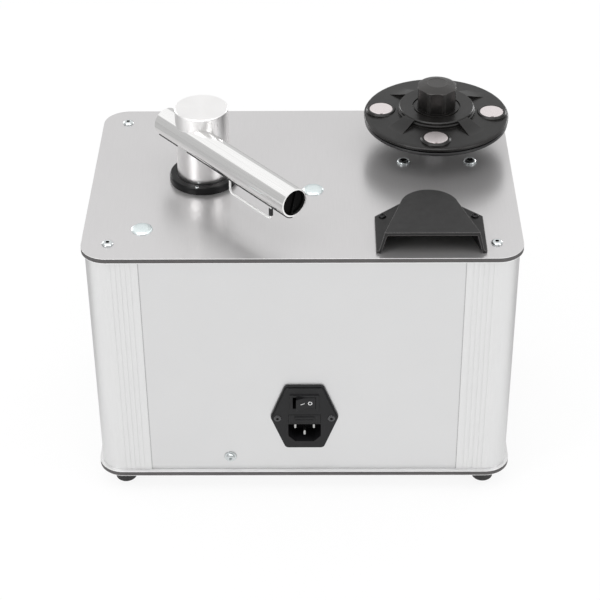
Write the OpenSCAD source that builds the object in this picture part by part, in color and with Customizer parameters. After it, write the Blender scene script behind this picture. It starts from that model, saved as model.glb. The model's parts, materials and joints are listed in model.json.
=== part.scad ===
// Compact record cleaning machine: a case of four corner profiles, four panels and two composite
// plates, with a driven platter and clamp, a swivelling suction arm, a waste tank and a vacuum motor.
// Millimetres, +Z up. The origin is on the floor under the centre of the case.
// The mains inlet and the exhaust hood are at the rear, -Y, and the two switches at the front, +Y.

/* [Case] */
// Width of the top and bottom plates
plate_w = 312; // [300:1:340]
// Depth of the top and bottom plates
plate_d = 210; // [204:1:240]
// Radius of the plates' corners
plate_r = 19; // [17:0.5:24]
// Thickness of each metal skin of a plate
skin_t = 0.4; // [0.3:0.1:0.6]
// Thickness of the dark core of a plate
core_t = 3.2; // [2:0.1:5]
// Height of the panels between the two plates
body_h = 190; // [184:1:220]
// How far the plates stand out past the panels' corner profiles
overhang = 2.4; // [1:0.1:4]

/* [Corner profiles] */
// Length of each leg of a corner profile, from the outer face of the next side
leg = 38.4; // [34:0.2:44]
// Thickness of a profile's outer wall
profile_wall = 1.8; // [1.4:0.1:2.4]
// Thickness of the lip in front of a panel's edge
lip_t = 1; // [0.7:0.1:1.3]
// Thickness of the lip behind a panel's edge
inner_lip_t = 1.2; // [1:0.1:2]
// How far a panel's edge goes into a profile
engage = 5; // [3:0.5:8]
// Play of a panel in its slot
slot_gap = 0.1; // [0.05:0.05:0.3]
// Number of fine grooves on each leg
groove_n = 5; // [2:1:6]
// Distance from one groove to the next
groove_pitch = 3.5; // [2.5:0.1:4]
// Width of a groove
groove_w = 0.9; // [0.4:0.1:1.5]
// Depth of a groove
groove_d = 0.4; // [0.2:0.1:0.8]
// Outer radius of the screw channel
channel_r = 4.2; // [3.6:0.1:5]

/* [Panels] */
// Thickness of the four panels
panel_t = 2; // [1.5:0.1:3]

/* [Feet and case screws] */
// Height of a rubber foot
foot_h = 16; // [12:0.5:20]
// Radius of a foot at the floor
foot_r = 8; // [7:0.1:9]
// Radius of a foot under the plate
foot_top_r = 9.4; // [8:0.1:11]
// Radius of the screw threads that go into the profiles
thread_r = 1.7; // [1.4:0.1:2]
// Radius of the case screws' heads
head_r = 4.1; // [3:0.1:4.6]
// Height of the case screws' heads
head_h = 2; // [1.4:0.1:2.6]
// Length of the case screws below the head
screw_l = 20; // [14:1:30]
// Radial play of a screw in its hole
screw_gap = 0.15; // [0.05:0.05:0.3]

/* [Large bolts] */
// Place of the first large bolt, which hangs the tank
bolt_a_x = -114.2; // [-116:0.1:-112]
// Depth place of the first large bolt
bolt_a_y = -67.1; // [-70:0.1:-64]
// Place of the second large bolt
bolt_b_x = 7.8; // [5:0.1:12]
// Depth place of the second large bolt
bolt_b_y = -14.3; // [-17:0.1:-11]
// Radius of a large bolt's flat round head
bolt_head_r = 7.6; // [6.5:0.1:9]
// Height of a large bolt's head
bolt_head_h = 2.2; // [1.5:0.1:3.5]
// Radius of a large bolt's shank
bolt_r = 2.9; // [2.4:0.1:3.4]

/* [Platter] */
// Distance of the platter's axis from the right edge of the top plate
spin_in = 55.3; // [52:0.1:60]
// Distance of the platter's axis from the front edge of the top plate
spin_back = 55.1; // [53:0.1:61]
// Radius of the spindle above the case
spindle_r = 6; // [5:0.1:7.5]
// Radius of the threaded stud that takes the clamp
stud_r = 3.6; // [3:0.1:4.5]
// Radius of the lower disc
platter_r = 53.9; // [50:0.1:56]
// Height of the lower disc's top over the case
platter_z = 24.4; // [22:0.1:27]
// Thickness of the lower disc
platter_t = 2.6; // [2:0.1:4]
// Distance between neighbouring motor screws
motor_pitch = 50.1; // [46:0.1:54]
// Width of the square gearbox
gearbox_w = 60; // [58:1:66]
// Height of the gearbox
gearbox_h = 34; // [26:1:44]
// Radius of the drive motor
drive_r = 21; // [16:0.5:26]
// Height of the drive motor
drive_h = 44; // [30:1:56]

/* [Clamp] */
// Radius of the clamp's moulded disc
clamp_r = 54.45; // [51:0.05:57]
// Gap between the two discs, filled by a record in use
clamp_gap = 1; // [0.8:0.1:2]
// Height of the clamp's outer rim
rim_h = 3.6; // [3:0.1:5]
// Radius of the raised hub
hub_r = 28.2; // [26:0.1:30]
// Height of the hub's top over the clamp's underside
hub_h = 10; // [9:0.1:11]
// Depth of the dish in the hub's top, in which the knob stands
hub_dip = 0.9; // [0.4:0.1:1.2]
// Distance of the round inserts from the axis
insert_at = 41.6; // [40:0.1:42]
// Radius of a round insert
insert_r = 8.9; // [7:0.1:9.5]
// Turn of the inserts about the axis at rest
insert_turn = -3.5; // [-15:0.5:15]
// Height of the knob's shoulder over the hub
knob_h = 17.3; // [15:0.1:21]
// Distance from the knob's axis to its eight broad flats
knob_flat = 14.2; // [12.5:0.1:15.2]
// How far the knob's narrow flats stand out past the broad ones
knob_edge = 0.6; // [0.3:0.1:0.9]

/* [Arm] */
// Sideways place of the arm's axis
arm_x = -73.4; // [-76:0.1:-70]
// Depth place of the arm's axis
arm_y = 4; // [0:0.5:8]
// Radius of the arm's post
post_r = 19.5; // [18.5:0.1:21]
// Height of the post's top over the case
post_z = 59.3; // [54:0.1:64]
// Radius of the black ring round the post
ring_r = 25.4; // [24.8:0.1:28]
// Height of the ring over the case
ring_h = 5.4; // [4:0.1:9]
// Radius of the suction tube
tube_r = 10.6; // [9:0.1:11]
// Wall of the suction tube
tube_wall = 1.1; // [0.8:0.1:1.6]
// Height of the tube's axis over the case
tube_z = 39.8; // [37:0.1:42]
// Distance from the post's axis to the tube's axis
tube_off = 11.5; // [9:0.1:12.5]
// Length of the tube from the post's axis to its outer end
tube_out = 120.5; // [110:0.5:122]
// Length of the tube from the post's axis to its inner end
tube_in = 28.6; // [26:0.1:40]
// Turn of the parked arm about the post's axis
park = -50.1; // [-60:0.1:-45]
// Width of the suction slot under the tube
slot_w = 3; // [2:0.1:3.8]
// Distance of the slot's start from the post's axis
slot_from = 34; // [30:1:40]
// Length of the slot
slot_l = 80; // [60:1:84]
// Height of the felt strips below the tube
felt_h = 1; // [0.6:0.1:1.6]
// How far the arm sinks when it is drawn down to a record
arm_drop = 3; // [2:0.5:4]
// Radius of the wire of the loop under the tube
wire_r = 0.8; // [0.5:0.05:1]
// Distance of the loop's first leg from the post's axis
wire_from = 54.6; // [44:0.1:58]
// Length of the loop between its legs
wire_l = 46.4; // [36:0.1:54]
// How far the loop hangs below the tube
wire_drop = 9.7; // [8:0.1:15]

/* [Exhaust hood] */
// Distance of the hood's middle from the right edge of the top plate
hood_in = 65.5; // [62:0.1:70]
// Distance of the hood's mouth from the rear edge of the top plate
hood_edge = 5.7; // [3:0.1:7]
// Width of the hood's foot over its two flanges
hood_w = 77.4; // [72:0.2:82]
// Width of the roof at the mouth
roof_w = 66; // [60:0.5:70]
// Radius of the round back of the roof
dome_r = 21.5; // [19:0.5:24]
// Distance from the hood's mouth to the centre of its round back
dome_in = 39.6; // [38:0.1:43]
// Height of the roof over the case at the mouth
roof_h = 17.3; // [14:0.1:22]
// How much lower the roof is at the back
roof_fall = 2; // [0:0.1:4]
// Thickness of the hood's roof
hood_t = 2.4; // [1.8:0.1:3]
// Thickness of the hood's side walls
hood_side_t = 1.6; // [1.2:0.1:2.4]
// Distance from the hood's mouth to the outer corners of its two ears
ear_y = 45.8; // [42:0.1:50]
// Thickness of the hood's flanges
flange_t = 2.4; // [1.6:0.1:3]
// How far the walls lean out at the foot
lean = 4.2; // [2:0.1:5]
// Radius of the exhaust hole in the case
exhaust_r = 15; // [12:0.5:17]

/* [Mains inlet] */
// Sideways place of the inlet's middle
inlet_x = 0.8; // [-10:0.1:10]
// Height of the inlet's middle below the top of the case
inlet_down = 142.7; // [130:0.1:150]
// Width of the inlet's flange between its side tips
inlet_w = 49.9; // [48:0.1:52]
// Height of the inlet's flange
inlet_h = 57.8; // [56.6:0.1:60]
// Distance between the inlet's two screws
inlet_pitch = 40; // [39.8:0.1:40.2]
// Thickness of the inlet's flange
inlet_t = 3; // [2:0.1:3.4]
// Depth of the inlet's body behind the panel
inlet_depth = 26; // [22:0.5:32]
// Width of the socket
socket_w = 24.2; // [24:0.1:25]
// Height of the socket
socket_h = 16.3; // [16:0.1:17]
// Depth of the socket
socket_depth = 16; // [14:0.5:18]
// Width of the opening in which a rocker turns
rocker_w = 17; // [15.5:0.1:18]
// Height of the mains rocker
rocker_h = 10; // [9.6:0.1:12.4]

/* [Front switches] */
// Distance of each front switch from the middle
switch_x = 34; // [24:1:60]
// Height of the front switches below the top of the case
switch_down = 40; // [30:1:60]
// Width of a front switch's bezel
switch_w = 21.5; // [20.5:0.5:26]
// Height of a front switch's bezel
switch_h = 14.3; // [13.8:0.1:20]
// Tilt of a two-way rocker from level
tilt = 12; // [8:0.5:13]

/* [Waste tank] */
// Gap between the tank's lid and the left panel
lid_gap = 5.6; // [4:0.2:10]
// Right edge of the tank
tank_x1 = -14; // [-20:1:-10]
// Rear edge of the tank
tank_y0 = -48; // [-54:1:-40]
// Gap between the tank's lid and the screw channels of the front profiles
channel_gap = 1.8; // [1:0.2:10]
// Height of the tank under its lid
tank_h = 108; // [80:1:120]
// Wall of the tank
tank_wall = 2.6; // [2:0.1:4]
// Space between the tank's lid and the top plate
tank_space = 36; // [32:1:44]
// Thickness of the tank's lid
lid_t = 4; // [3:0.5:6]

/* [Vacuum motor] */
// Gap between the fan casing and the right panel
fan_side_gap = 14.6; // [11:0.2:16]
// Gap between the fan casing and the rear panel
fan_rear_gap = 9.6; // [8:0.2:12]
// Radius of the fan casing
fan_r = 50; // [46:0.5:52]
// Height of the fan casing
fan_h = 36; // [28:1:44]
// Radius of the motor's can
can_r = 38; // [34:0.5:42]
// Height of the motor's can
can_h = 66; // [56:1:70]
// Outer radius of the hose and its spigots
hose_r = 17; // [15:0.5:19]
// Number of ribs on the hose
hose_ribs = 9; // [5:1:14]

/* [Hidden] */

// Radial play of a turning or sliding fit
running = 0.06;

// Heights
plate_t = core_t + 2 * skin_t;
z_low = foot_h + plate_t;
z_high = z_low + body_h;
z_top = z_high + plate_t;

// The case
body_w = plate_w - 2 * overhang;
body_d = plate_d - 2 * overhang;
corner_x = plate_w / 2 - plate_r;
corner_y = plate_d / 2 - plate_r;
seam_x = body_w / 2 - leg;
seam_y = body_d / 2 - leg;
slot_t = panel_t + slot_gap;
groove_from = 4.4;
rib_t = 1.6;
panel_face_y = body_d / 2 - lip_t;
panel_face_x = body_w / 2 - lip_t;
inner_x = panel_face_x - panel_t;
inner_y = panel_face_y - panel_t;

// Places that are counted from the edges of the case
spin_x = plate_w / 2 - spin_in;
spin_y = plate_d / 2 - spin_back;
hood_x = plate_w / 2 - hood_in;
hood_y = hood_edge - plate_d / 2;
dome_y = hood_y + dome_in;
vac_x = inner_x - fan_side_gap - fan_r;
vac_y = fan_rear_gap + fan_r - inner_y;

// Colours as the photograph shows them
silver = "#d9d9d9";
light_silver = "#e4e4e4";
steel = "#c9ced1";
plate_grey = "#cbc9ca";
core_grey = "#565353";
black = "#2b2b2b";
soft_black = "#3d3b3a";
felt_black = "#1d1d1d";
rubber = "#242222";
polished = "#e8e8e6";
tank_white = "#dcdcd2";
motor_grey = "#8f9396";
casing_grey = "#a9adb0";
wheel_grey = "#c4c8ca";
board_green = "#2f5d3a";

// A flat rectangle about the origin, its corners truly round
module round_rect(w, d, r) {
    square([w - 2 * r, d], center = true);
    square([w, d - 2 * r], center = true);
    for (x = [-1, 1], y = [-1, 1])
        translate([x * (w / 2 - r), y * (d / 2 - r)]) circle(r = r, $fn = 96);
}

// The case's four corner axes, where the screws and the feet are
module at_corners() {
    for (x = [-1, 1], y = [-1, 1]) translate([x * corner_x, y * corner_y, 0]) children();
}

// A screw with a domed head that sits on z = 0, its shank going down, and a six-sided socket
module dome_screw(r, h, shank, length, socket) {
    difference() {
        rotate_extrude($fn = 48) {
            polygon([[0, 0], [r, 0], [r, h * 0.35], [r * 0.86, h * 0.72], [r * 0.6, h], [0, h]]);
            translate([0, -length]) square([shank, length]);
        }
        translate([0, 0, h * 0.35]) cylinder(r = socket, h = h, $fn = 6);
    }
}

// Plates

motor_hole_r = 2;
motor_head_r = 4.6;
motor_screw_in = 8;
spindle_in = 14;
arm_hole_r = 21.4;
sleeve_r = 21.2;
ring_screw_r = 0.9;
ring_screw_at = 22.9;
ring_screw_gap = 0.1;
ring_head_r = 1.5;
ring_sink = 0.8;
bush_hole_r = spindle_r + 0.6;
hood_screw_r = 1.5;
hood_screw_x = hood_w / 2 - 5.6;
hood_screw_y = hood_y + ear_y - 1.1;

module at_motor_screws() {
    for (x = [-1, 1], y = [-1, 1])
        translate([spin_x + x * motor_pitch / 2, spin_y + y * motor_pitch / 2, 0]) children();
}

module at_large_bolts() {
    translate([bolt_a_x, bolt_a_y, 0]) children();
    translate([bolt_b_x, bolt_b_y, 0]) children();
}

module at_hood_screws() {
    for (x = [-1, 1]) translate([hood_x + x * hood_screw_x, hood_screw_y, 0]) children();
}

// Three screws through the arm's ring, one of them towards the rear
module at_ring_screws() {
    for (a = [-100 : 120 : 140]) translate([arm_x, arm_y, 0]) rotate([0, 0, a])
        translate([ring_screw_at, 0, 0]) children();
}

// The holes that the top plate is drilled with
module top_holes() {
    translate([0, 0, z_high - 1]) {
        at_corners() cylinder(r = thread_r + screw_gap, h = plate_t + 2, $fn = 32);
        at_motor_screws() cylinder(r = motor_hole_r + screw_gap, h = plate_t + 2, $fn = 32);
        at_large_bolts() cylinder(r = bolt_r + screw_gap, h = plate_t + 2, $fn = 32);
        at_hood_screws() cylinder(r = hood_screw_r + screw_gap, h = plate_t + 2, $fn = 32);
        at_ring_screws() cylinder(r = ring_screw_r + ring_screw_gap, h = plate_t + 2, $fn = 32);
        translate([arm_x, arm_y, 0]) cylinder(r = arm_hole_r, h = plate_t + 2, $fn = 96);
        translate([spin_x, spin_y, 0]) cylinder(r = bush_hole_r, h = plate_t + 2, $fn = 64);
        translate([hood_x, dome_y, 0]) cylinder(r = exhaust_r, h = plate_t + 2, $fn = 64);
    }
}

mount_screw_at = can_r + 9;
mount_screw_r = 2;
board_w = 96;
board_d = 34;
board_t = 1.6;
board_x = channel_r + 1.8 + board_w / 2 - corner_x;
board_y = 8.6 + board_d / 2 - inner_y;
board_inset = 4;
board_hole_r = 1.5;

module at_mount_screws() {
    for (a = [30 : 120 : 270])
        translate([vac_x, vac_y, 0]) rotate([0, 0, a]) translate([mount_screw_at, 0, 0]) children();
}

module at_board_posts() {
    for (x = [-1, 1], y = [-1, 1])
        translate([board_x + x * (board_w / 2 - board_inset), board_y + y * (board_d / 2 - board_inset), 0])
            children();
}

// The holes that the bottom plate is drilled with
module bottom_holes() {
    translate([0, 0, foot_h - 1]) {
        at_corners() cylinder(r = thread_r + screw_gap, h = plate_t + 2, $fn = 32);
        at_mount_screws() cylinder(r = mount_screw_r + screw_gap, h = plate_t + 2, $fn = 32);
        at_board_posts() cylinder(r = board_hole_r + screw_gap, h = plate_t + 2, $fn = 32);
    }
}

module plate_sheet(z, t) {
    translate([0, 0, z]) linear_extrude(t) round_rect(plate_w, plate_d, plate_r);
}

module bottom_plate_core() {
    color(core_grey) difference() {
        plate_sheet(foot_h + skin_t, core_t);
        bottom_holes();
    }
}

module bottom_plate_skins() {
    color(plate_grey) difference() {
        for (z = [foot_h, foot_h + skin_t + core_t]) plate_sheet(z, skin_t);
        bottom_holes();
    }
}

module top_plate_core() {
    color(core_grey) difference() {
        plate_sheet(z_high + skin_t, core_t);
        top_holes();
    }
}

module top_plate_skins() {
    color(plate_grey) difference() {
        for (z = [z_high, z_high + skin_t + core_t]) plate_sheet(z, skin_t);
        top_holes();
    }
}

// Corner profiles

// One leg of a profile's section: along x, on the side whose outer face is at y = 0, below it,
// from the seam at x = 0 to the corner
module leg_section(length) {
    chamber = lip_t + slot_t + inner_lip_t;
    difference() {
        union() {
            translate([0, -profile_wall]) square([length, profile_wall]);
            translate([0, -chamber]) square([engage + slot_gap + rib_t, chamber]);
        }
        translate([-1, -lip_t - slot_t]) square([engage + slot_gap + 1, slot_t]);
        for (i = [0 : groove_n - 1])
            translate([groove_from + i * groove_pitch, -groove_d]) square([groove_w, 2 * groove_d]);
    }
}

// Section of the profile in the corner where x and y are positive
module profile_section() {
    r = plate_r - overhang;
    bore = thread_r + 0.02;
    difference() {
        union() {
            translate([seam_x, body_d / 2]) leg_section(leg - r);
            translate([body_w / 2, seam_y]) mirror([1, -1]) leg_section(body_d / 2 - seam_y - r);
            intersection() {
                translate([corner_x, corner_y]) difference() {
                    circle(r = r, $fn = 96);
                    circle(r = r - profile_wall, $fn = 96);
                }
                translate([corner_x, corner_y]) square(r + 1);
            }
            translate([corner_x, corner_y]) circle(r = channel_r, $fn = 48);
            for (a = [0, 90])
                translate([corner_x, corner_y]) rotate(a) translate([0, -rib_t / 2])
                    square([r - profile_wall / 2, rib_t]);
        }
        translate([corner_x, corner_y]) circle(r = bore, $fn = 48);
    }
}

module profile(mx, my) {
    color(light_silver) mirror([mx, 0, 0]) mirror([0, my, 0])
        translate([0, 0, z_low]) linear_extrude(body_h) profile_section();
}

module profile_rear_left() profile(1, 1);
module profile_rear_right() profile(0, 1);
module profile_front_left() profile(1, 0);
module profile_front_right() profile(0, 0);

// Panels

// A panel that stands across the view, its outer face at y = 0 and its thickness behind, at +y
module panel_sheet(half) {
    translate([-half - engage, 0, z_low]) cube([2 * (half + engage), panel_t, body_h]);
}

inlet_z = z_top - inlet_down;
inlet_body_w = 29;
inlet_body_h = 46;
inlet_screw_r = 1.6;
earth_x = -55.2;
earth_z = z_low + 12.3;
earth_r = 1.9;
switch_z = z_top - switch_down;
switch_body_w = switch_w - 2.4;
switch_body_h = switch_h - 1.6;
switch_x_list = [-switch_x, switch_x];

module panel_rear() {
    color(silver) difference() {
        translate([0, -panel_face_y, 0]) panel_sheet(seam_x);
        translate([inlet_x - inlet_body_w / 2 - 0.3, -body_d / 2 - 1, inlet_z - inlet_body_h / 2 - 0.3])
            cube([inlet_body_w + 0.6, panel_t + 4, inlet_body_h + 0.6]);
        for (s = [-1, 1])
            translate([inlet_x + s * inlet_pitch / 2, -body_d / 2 - 1, inlet_z])
                rotate([-90, 0, 0]) cylinder(r = inlet_screw_r + screw_gap, h = 6, $fn = 32);
        translate([earth_x, -body_d / 2 - 1, earth_z])
            rotate([-90, 0, 0]) cylinder(r = earth_r + screw_gap, h = 6, $fn = 32);
    }
}

module panel_front() {
    color(silver) difference() {
        rotate([0, 0, 180]) translate([0, -panel_face_y, 0]) panel_sheet(seam_x);
        for (x = switch_x_list)
            translate([x - switch_body_w / 2 - 0.2, panel_face_y - panel_t - 1, switch_z - switch_body_h / 2 - 0.2])
                cube([switch_body_w + 0.4, panel_t + 3, switch_body_h + 0.4]);
    }
}

module panel_left() {
    color(silver) rotate([0, 0, -90]) translate([0, -panel_face_x, 0]) panel_sheet(seam_y);
}

module panel_right() {
    color(silver) rotate([0, 0, 90]) translate([0, -panel_face_x, 0]) panel_sheet(seam_y);
}

// Feet and case screws

foot_well_r = 4.2;
foot_well_h = foot_h - 5;
foot_edge = 1.2;

module feet() {
    color(rubber) at_corners() rotate_extrude($fn = 64)
        polygon([[foot_well_r, 0], [foot_r - foot_edge, 0], [foot_r, foot_edge],
            [foot_top_r, foot_h - foot_edge], [foot_top_r - foot_edge / 2, foot_h],
            [thread_r + screw_gap, foot_h], [thread_r + screw_gap, foot_well_h],
            [foot_well_r, foot_well_h]]);
}

module foot_screws() {
    color(steel) at_corners() translate([0, 0, foot_well_h]) rotate([180, 0, 0])
        dome_screw(head_r, head_h, thread_r, screw_l, 1.4);
}

module case_screws() {
    color(steel) at_corners() translate([0, 0, z_top])
        dome_screw(head_r, head_h, thread_r, screw_l, 1.5);
}

// Exhaust hood

foot_back_y = dome_y - hood_y + dome_r;
ear_in = dome_r - 3.5;
ear_back_y = ear_y + (hood_w / 2 - ear_in) * 0.87;

// The outline of the roof and of the space under it, drawn in by t
module roof_outline(t, spread) {
    hull() {
        translate([-roof_w / 2 - spread + t, -0.001]) square([roof_w + 2 * spread - 2 * t, 0.6]);
        translate([0, dome_y - hood_y]) circle(r = dome_r + spread - t, $fn = 48);
    }
}

// A tapered block from the hood's foot to its sloping roof, drawn in by t at the roof and by side
// at the walls
module hood_block(t, side, front) {
    top = roof_h - t;
    low = 0.1;
    hull() {
        translate([0, -front, 0]) linear_extrude(low) roof_outline(side, lean);
        translate([0, -front, top - roof_fall - low]) linear_extrude(low) roof_outline(side + 0.8, 0);
        translate([-roof_w / 2 + side, -front, top - 0.6]) cube([roof_w - 2 * side, 0.6, 0.6]);
    }
}

// The flat foot with its two ears
module hood_foot() {
    linear_extrude(flange_t) difference() {
        union() {
            polygon([[-hood_w / 2, 1], [-hood_w / 2 + 1, 0], [hood_w / 2 - 1, 0], [hood_w / 2, 1],
                [hood_w / 2, ear_y - 1.2], [hood_w / 2 - 1.2, ear_y], [ear_in, ear_back_y],
                [ear_in - 8, foot_back_y + 5], [8 - ear_in, foot_back_y + 5], [-ear_in, ear_back_y],
                [1.2 - hood_w / 2, ear_y], [-hood_w / 2, ear_y - 1.2]]);
            translate([0, dome_y - hood_y]) circle(r = dome_r + lean + 2, $fn = 64);
        }
        roof_outline(hood_side_t, lean);
    }
}

module exhaust_hood() {
    color(soft_black) difference() {
        translate([hood_x, hood_y, z_top]) difference() {
            union() {
                hood_foot();
                hood_block(0, 0, 0);
            }
            translate([0, 0, -0.01]) hood_block(hood_t, hood_side_t, 1);
            translate([-hood_w, -4, -1]) cube([2 * hood_w, 4, roof_h + 2]);
        }
        at_hood_screws() translate([0, 0, z_top - 1])
            cylinder(r = hood_screw_r + screw_gap, h = flange_t + 2, $fn = 32);
        at_hood_screws() translate([0, 0, z_top + flange_t])
            cylinder(r = 3.4, h = roof_h, $fn = 32);
    }
}

module hood_screws() {
    color(black) at_hood_screws() translate([0, 0, z_top + flange_t])
        dome_screw(2.8, 1.6, hood_screw_r, 9, 1);
}

// Mains inlet

socket_z = -13.75;
rocker_z = 14.85;
drawer_z = -0.45;
drawer_h = 7.4;
drawer_w = 23.6;
drawer_depth = 20;
face_y = -panel_face_y - inlet_t;
bezel_up = 0.8;
face_edge = 1.1;
switch_depth = 14;
pin_t = 2;
pin_h = 4;

// Six-sided flange outline with round corners, seen from outside and drawn in by t
module inlet_outline(t) {
    tip_r = 3.4;
    flat_w = 30.5;
    hull() {
        for (s = [-1, 1]) {
            translate([s * (inlet_w / 2 - tip_r), 0]) circle(r = tip_r - t, $fn = 32);
            for (v = [-1, 1])
                translate([s * (flat_w / 2 - tip_r), v * (inlet_h / 2 - tip_r)]) circle(r = tip_r - t, $fn = 32);
        }
    }
}

// Puts a flat outline, drawn as seen from outside the rear panel, at depth y, extruded inwards
module on_rear(y, depth) {
    translate([0, y, 0]) rotate([90, 0, 0]) translate([0, 0, -depth]) linear_extrude(depth) children();
}

// The socket's outline: a rectangle with its two lower corners cut off
module socket_outline(w, h) {
    cut = 5.1;
    polygon([[-w / 2, h / 2], [w / 2, h / 2], [w / 2, -h / 2 + cut], [w / 2 - cut, -h / 2],
        [-w / 2 + cut, -h / 2], [-w / 2, -h / 2 + cut]]);
}

// The opening in which a rocker turns, and the frame round it
module rocker_opening() {
    square([rocker_w, rocker_h + 0.6], center = true);
}

module switch_frame() {
    square([switch_w, switch_h], center = true);
}

module inlet_housing() {
    color(black) translate([inlet_x, 0, inlet_z]) difference() {
        union() {
            on_rear(face_y + face_edge, inlet_t - face_edge) inlet_outline(0);
            on_rear(face_y, face_edge) inlet_outline(face_edge);
            on_rear(face_y - bezel_up, bezel_up) translate([0, rocker_z]) switch_frame();
            on_rear(face_y + inlet_t, inlet_depth) square([inlet_body_w, inlet_body_h], center = true);
        }
        on_rear(face_y - 1, socket_depth + 1) translate([0, socket_z]) socket_outline(socket_w, socket_h);
        on_rear(face_y - 1, drawer_depth + 1.4)
            translate([0, drawer_z]) square([drawer_w + 0.3, drawer_h + 0.3], center = true);
        on_rear(face_y - 2, switch_depth) translate([0, rocker_z]) rocker_opening();
        for (s = [-1, 1])
            translate([s * inlet_pitch / 2, face_y - 1, 0]) rotate([-90, 0, 0])
                cylinder(r = inlet_screw_r + screw_gap, h = inlet_t + 2, $fn = 32);
    }
    color(black) translate([inlet_x, face_y - bezel_up + rocker_in, inlet_z + rocker_z]) rocker_pin();
}

pin_pitch = 14;
pin_l = socket_depth - 3;

module inlet_pins() {
    back = face_y + socket_depth;
    color(steel) translate([inlet_x, 0, inlet_z + socket_z]) {
        for (s = [-1, 1])
            translate([s * pin_pitch / 2 - pin_t / 2, back - pin_l, 1.7]) cube([pin_t, pin_l, pin_h]);
        translate([-pin_t / 2, back - pin_l - 1.5, -3.3]) cube([pin_t, pin_l + 1.5, pin_h]);
    }
}

module inlet_screws() {
    color(black) for (s = [-1, 1])
        translate([inlet_x + s * inlet_pitch / 2, face_y, inlet_z]) rotate([90, 0, 0])
            dome_screw(2.8, 0.9, inlet_screw_r, 8, 1.2);
}

module fuse_drawer() {
    grip_w = 14.8;
    color(black) translate([inlet_x, 0, inlet_z]) difference() {
        union() {
            on_rear(face_y - 0.2, drawer_depth + 0.2)
                translate([0, drawer_z]) square([drawer_w, drawer_h], center = true);
            on_rear(face_y - 0.9, 0.9) translate([0, drawer_z]) square([grip_w, 4], center = true);
        }
        translate([-8, face_y + 3, drawer_z - 2.2]) cube([16, drawer_depth - 5, drawer_h]);
        on_rear(face_y - 1.5, 1.1) translate([0, drawer_z]) square([grip_w - 2, 1.4], center = true);
    }
}

// How far behind the frame a rocker's axis lies, and how far its level half stands out of it
rocker_in = 3.4;
rocker_out = 0.3;
rocker_gap = 0.15;
rocker_back = 2.8;
rocker_pin_r = 1;

// A rocker about an axis along z at the origin, its face towards -y. The face is two flats that
// meet over the axis, so that one half is level with the frame when the other stands out.
module rocker_body(angle) {
    apex = (rocker_in + rocker_out) / cos(tilt);
    reach = (rocker_w / 2 - rocker_gap - apex * sin(tilt)) * cos(tilt);
    rise = reach * tan(tilt);
    foot = reach * 0.62;
    rotate([0, 0, angle]) difference() {
        translate([0, 0, -rocker_h / 2]) linear_extrude(rocker_h)
            polygon([[-reach, -apex - rise], [0, -apex], [reach, -apex - rise], [foot, rocker_back],
                [-foot, rocker_back]]);
        cylinder(r = rocker_pin_r, h = rocker_h + 2, center = true, $fn = 32);
    }
}

// The pin that a rocker turns on is moulded in the frame's two cheeks
module rocker_pin() {
    cylinder(r = rocker_pin_r - running, h = rocker_h + 1, center = true, $fn = 32);
}

module mains_rocker() {
    color(black) translate([inlet_x, face_y - bezel_up + rocker_in, inlet_z + rocker_z])
        rocker_body(tilt);
}

module earth_terminal() {
    color(steel) translate([earth_x, -panel_face_y, earth_z]) rotate([90, 0, 0]) {
        rotate_extrude($fn = 48) translate([earth_r, 0]) square([4.4 - earth_r, 0.8]);
        translate([0, 0, 0.82]) dome_screw(3.2, 2, earth_r, 12, 1.3);
    }
}

// Front switches

module at_front_switch(x) {
    translate([x, panel_face_y, switch_z]) rotate([0, 0, 180]) children();
}

module switch_bezels() {
    depth = inlet_t + bezel_up;
    color(black) for (x = switch_x_list) at_front_switch(x) {
        difference() {
            union() {
                on_rear(-depth, depth) switch_frame();
                on_rear(0, switch_depth) square([switch_body_w, switch_body_h], center = true);
            }
            on_rear(-depth - 1, switch_depth - 1) rocker_opening();
        }
        translate([0, -depth + rocker_in, 0]) rocker_pin();
    }
}

module front_rocker(x, angle) {
    color(black) at_front_switch(x) translate([0, -inlet_t - bezel_up + rocker_in, 0]) rocker_body(angle);
}

module rotation_rocker() front_rocker(-switch_x, 0);
module suction_rocker() front_rocker(switch_x, tilt);

// Platter drive

module gearbox() {
    color(steel) difference() {
        translate([spin_x, spin_y, z_high - gearbox_h]) linear_extrude(gearbox_h)
            round_rect(gearbox_w, gearbox_w, 5);
        translate([spin_x, spin_y, z_high - spindle_in - 2])
            cylinder(r = spindle_r + running, h = spindle_in + 3, $fn = 64);
        at_motor_screws() translate([0, 0, z_high - motor_screw_in - 2])
            cylinder(r = motor_hole_r + 0.02, h = motor_screw_in + 3, $fn = 32);
    }
}

module drive_motor() {
    color(steel) translate([spin_x, spin_y, z_high - gearbox_h - drive_h]) {
        cylinder(r = drive_r, h = drive_h, $fn = 64);
        translate([0, 0, -3]) cylinder(r = 6, h = 3, $fn = 48);
    }
}

module motor_screws() {
    washer_t = 0.6;
    washer_r = 5;
    washer_bore_r = motor_hole_r + 0.1;
    color(steel) at_motor_screws() translate([0, 0, z_top]) {
        rotate_extrude($fn = 48) translate([washer_bore_r, 0]) square([washer_r - washer_bore_r, washer_t]);
        translate([0, 0, washer_t + 0.02]) dome_screw(motor_head_r, 1.8, motor_hole_r, plate_t + motor_screw_in, 2.5);
    }
}

stud_over = 12;
knob_seat = hub_h - hub_dip;
stud_top = platter_z + clamp_gap + knob_seat + stud_over;
platter_hub_r = 16;

module spindle() {
    color(polished) translate([spin_x, spin_y, z_top]) {
        translate([0, 0, -plate_t - spindle_in])
            cylinder(r = spindle_r, h = plate_t + spindle_in + platter_z - platter_t, $fn = 64);
        translate([0, 0, platter_z - platter_t])
            cylinder(r = stud_r, h = stud_top - platter_z + platter_t - 1, $fn = 48);
        translate([0, 0, stud_top - 1]) cylinder(r1 = stud_r, r2 = stud_r - 1, h = 1, $fn = 48);
    }
}

mat_t = 0.6;
mat_r = platter_r - 2.4;

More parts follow.
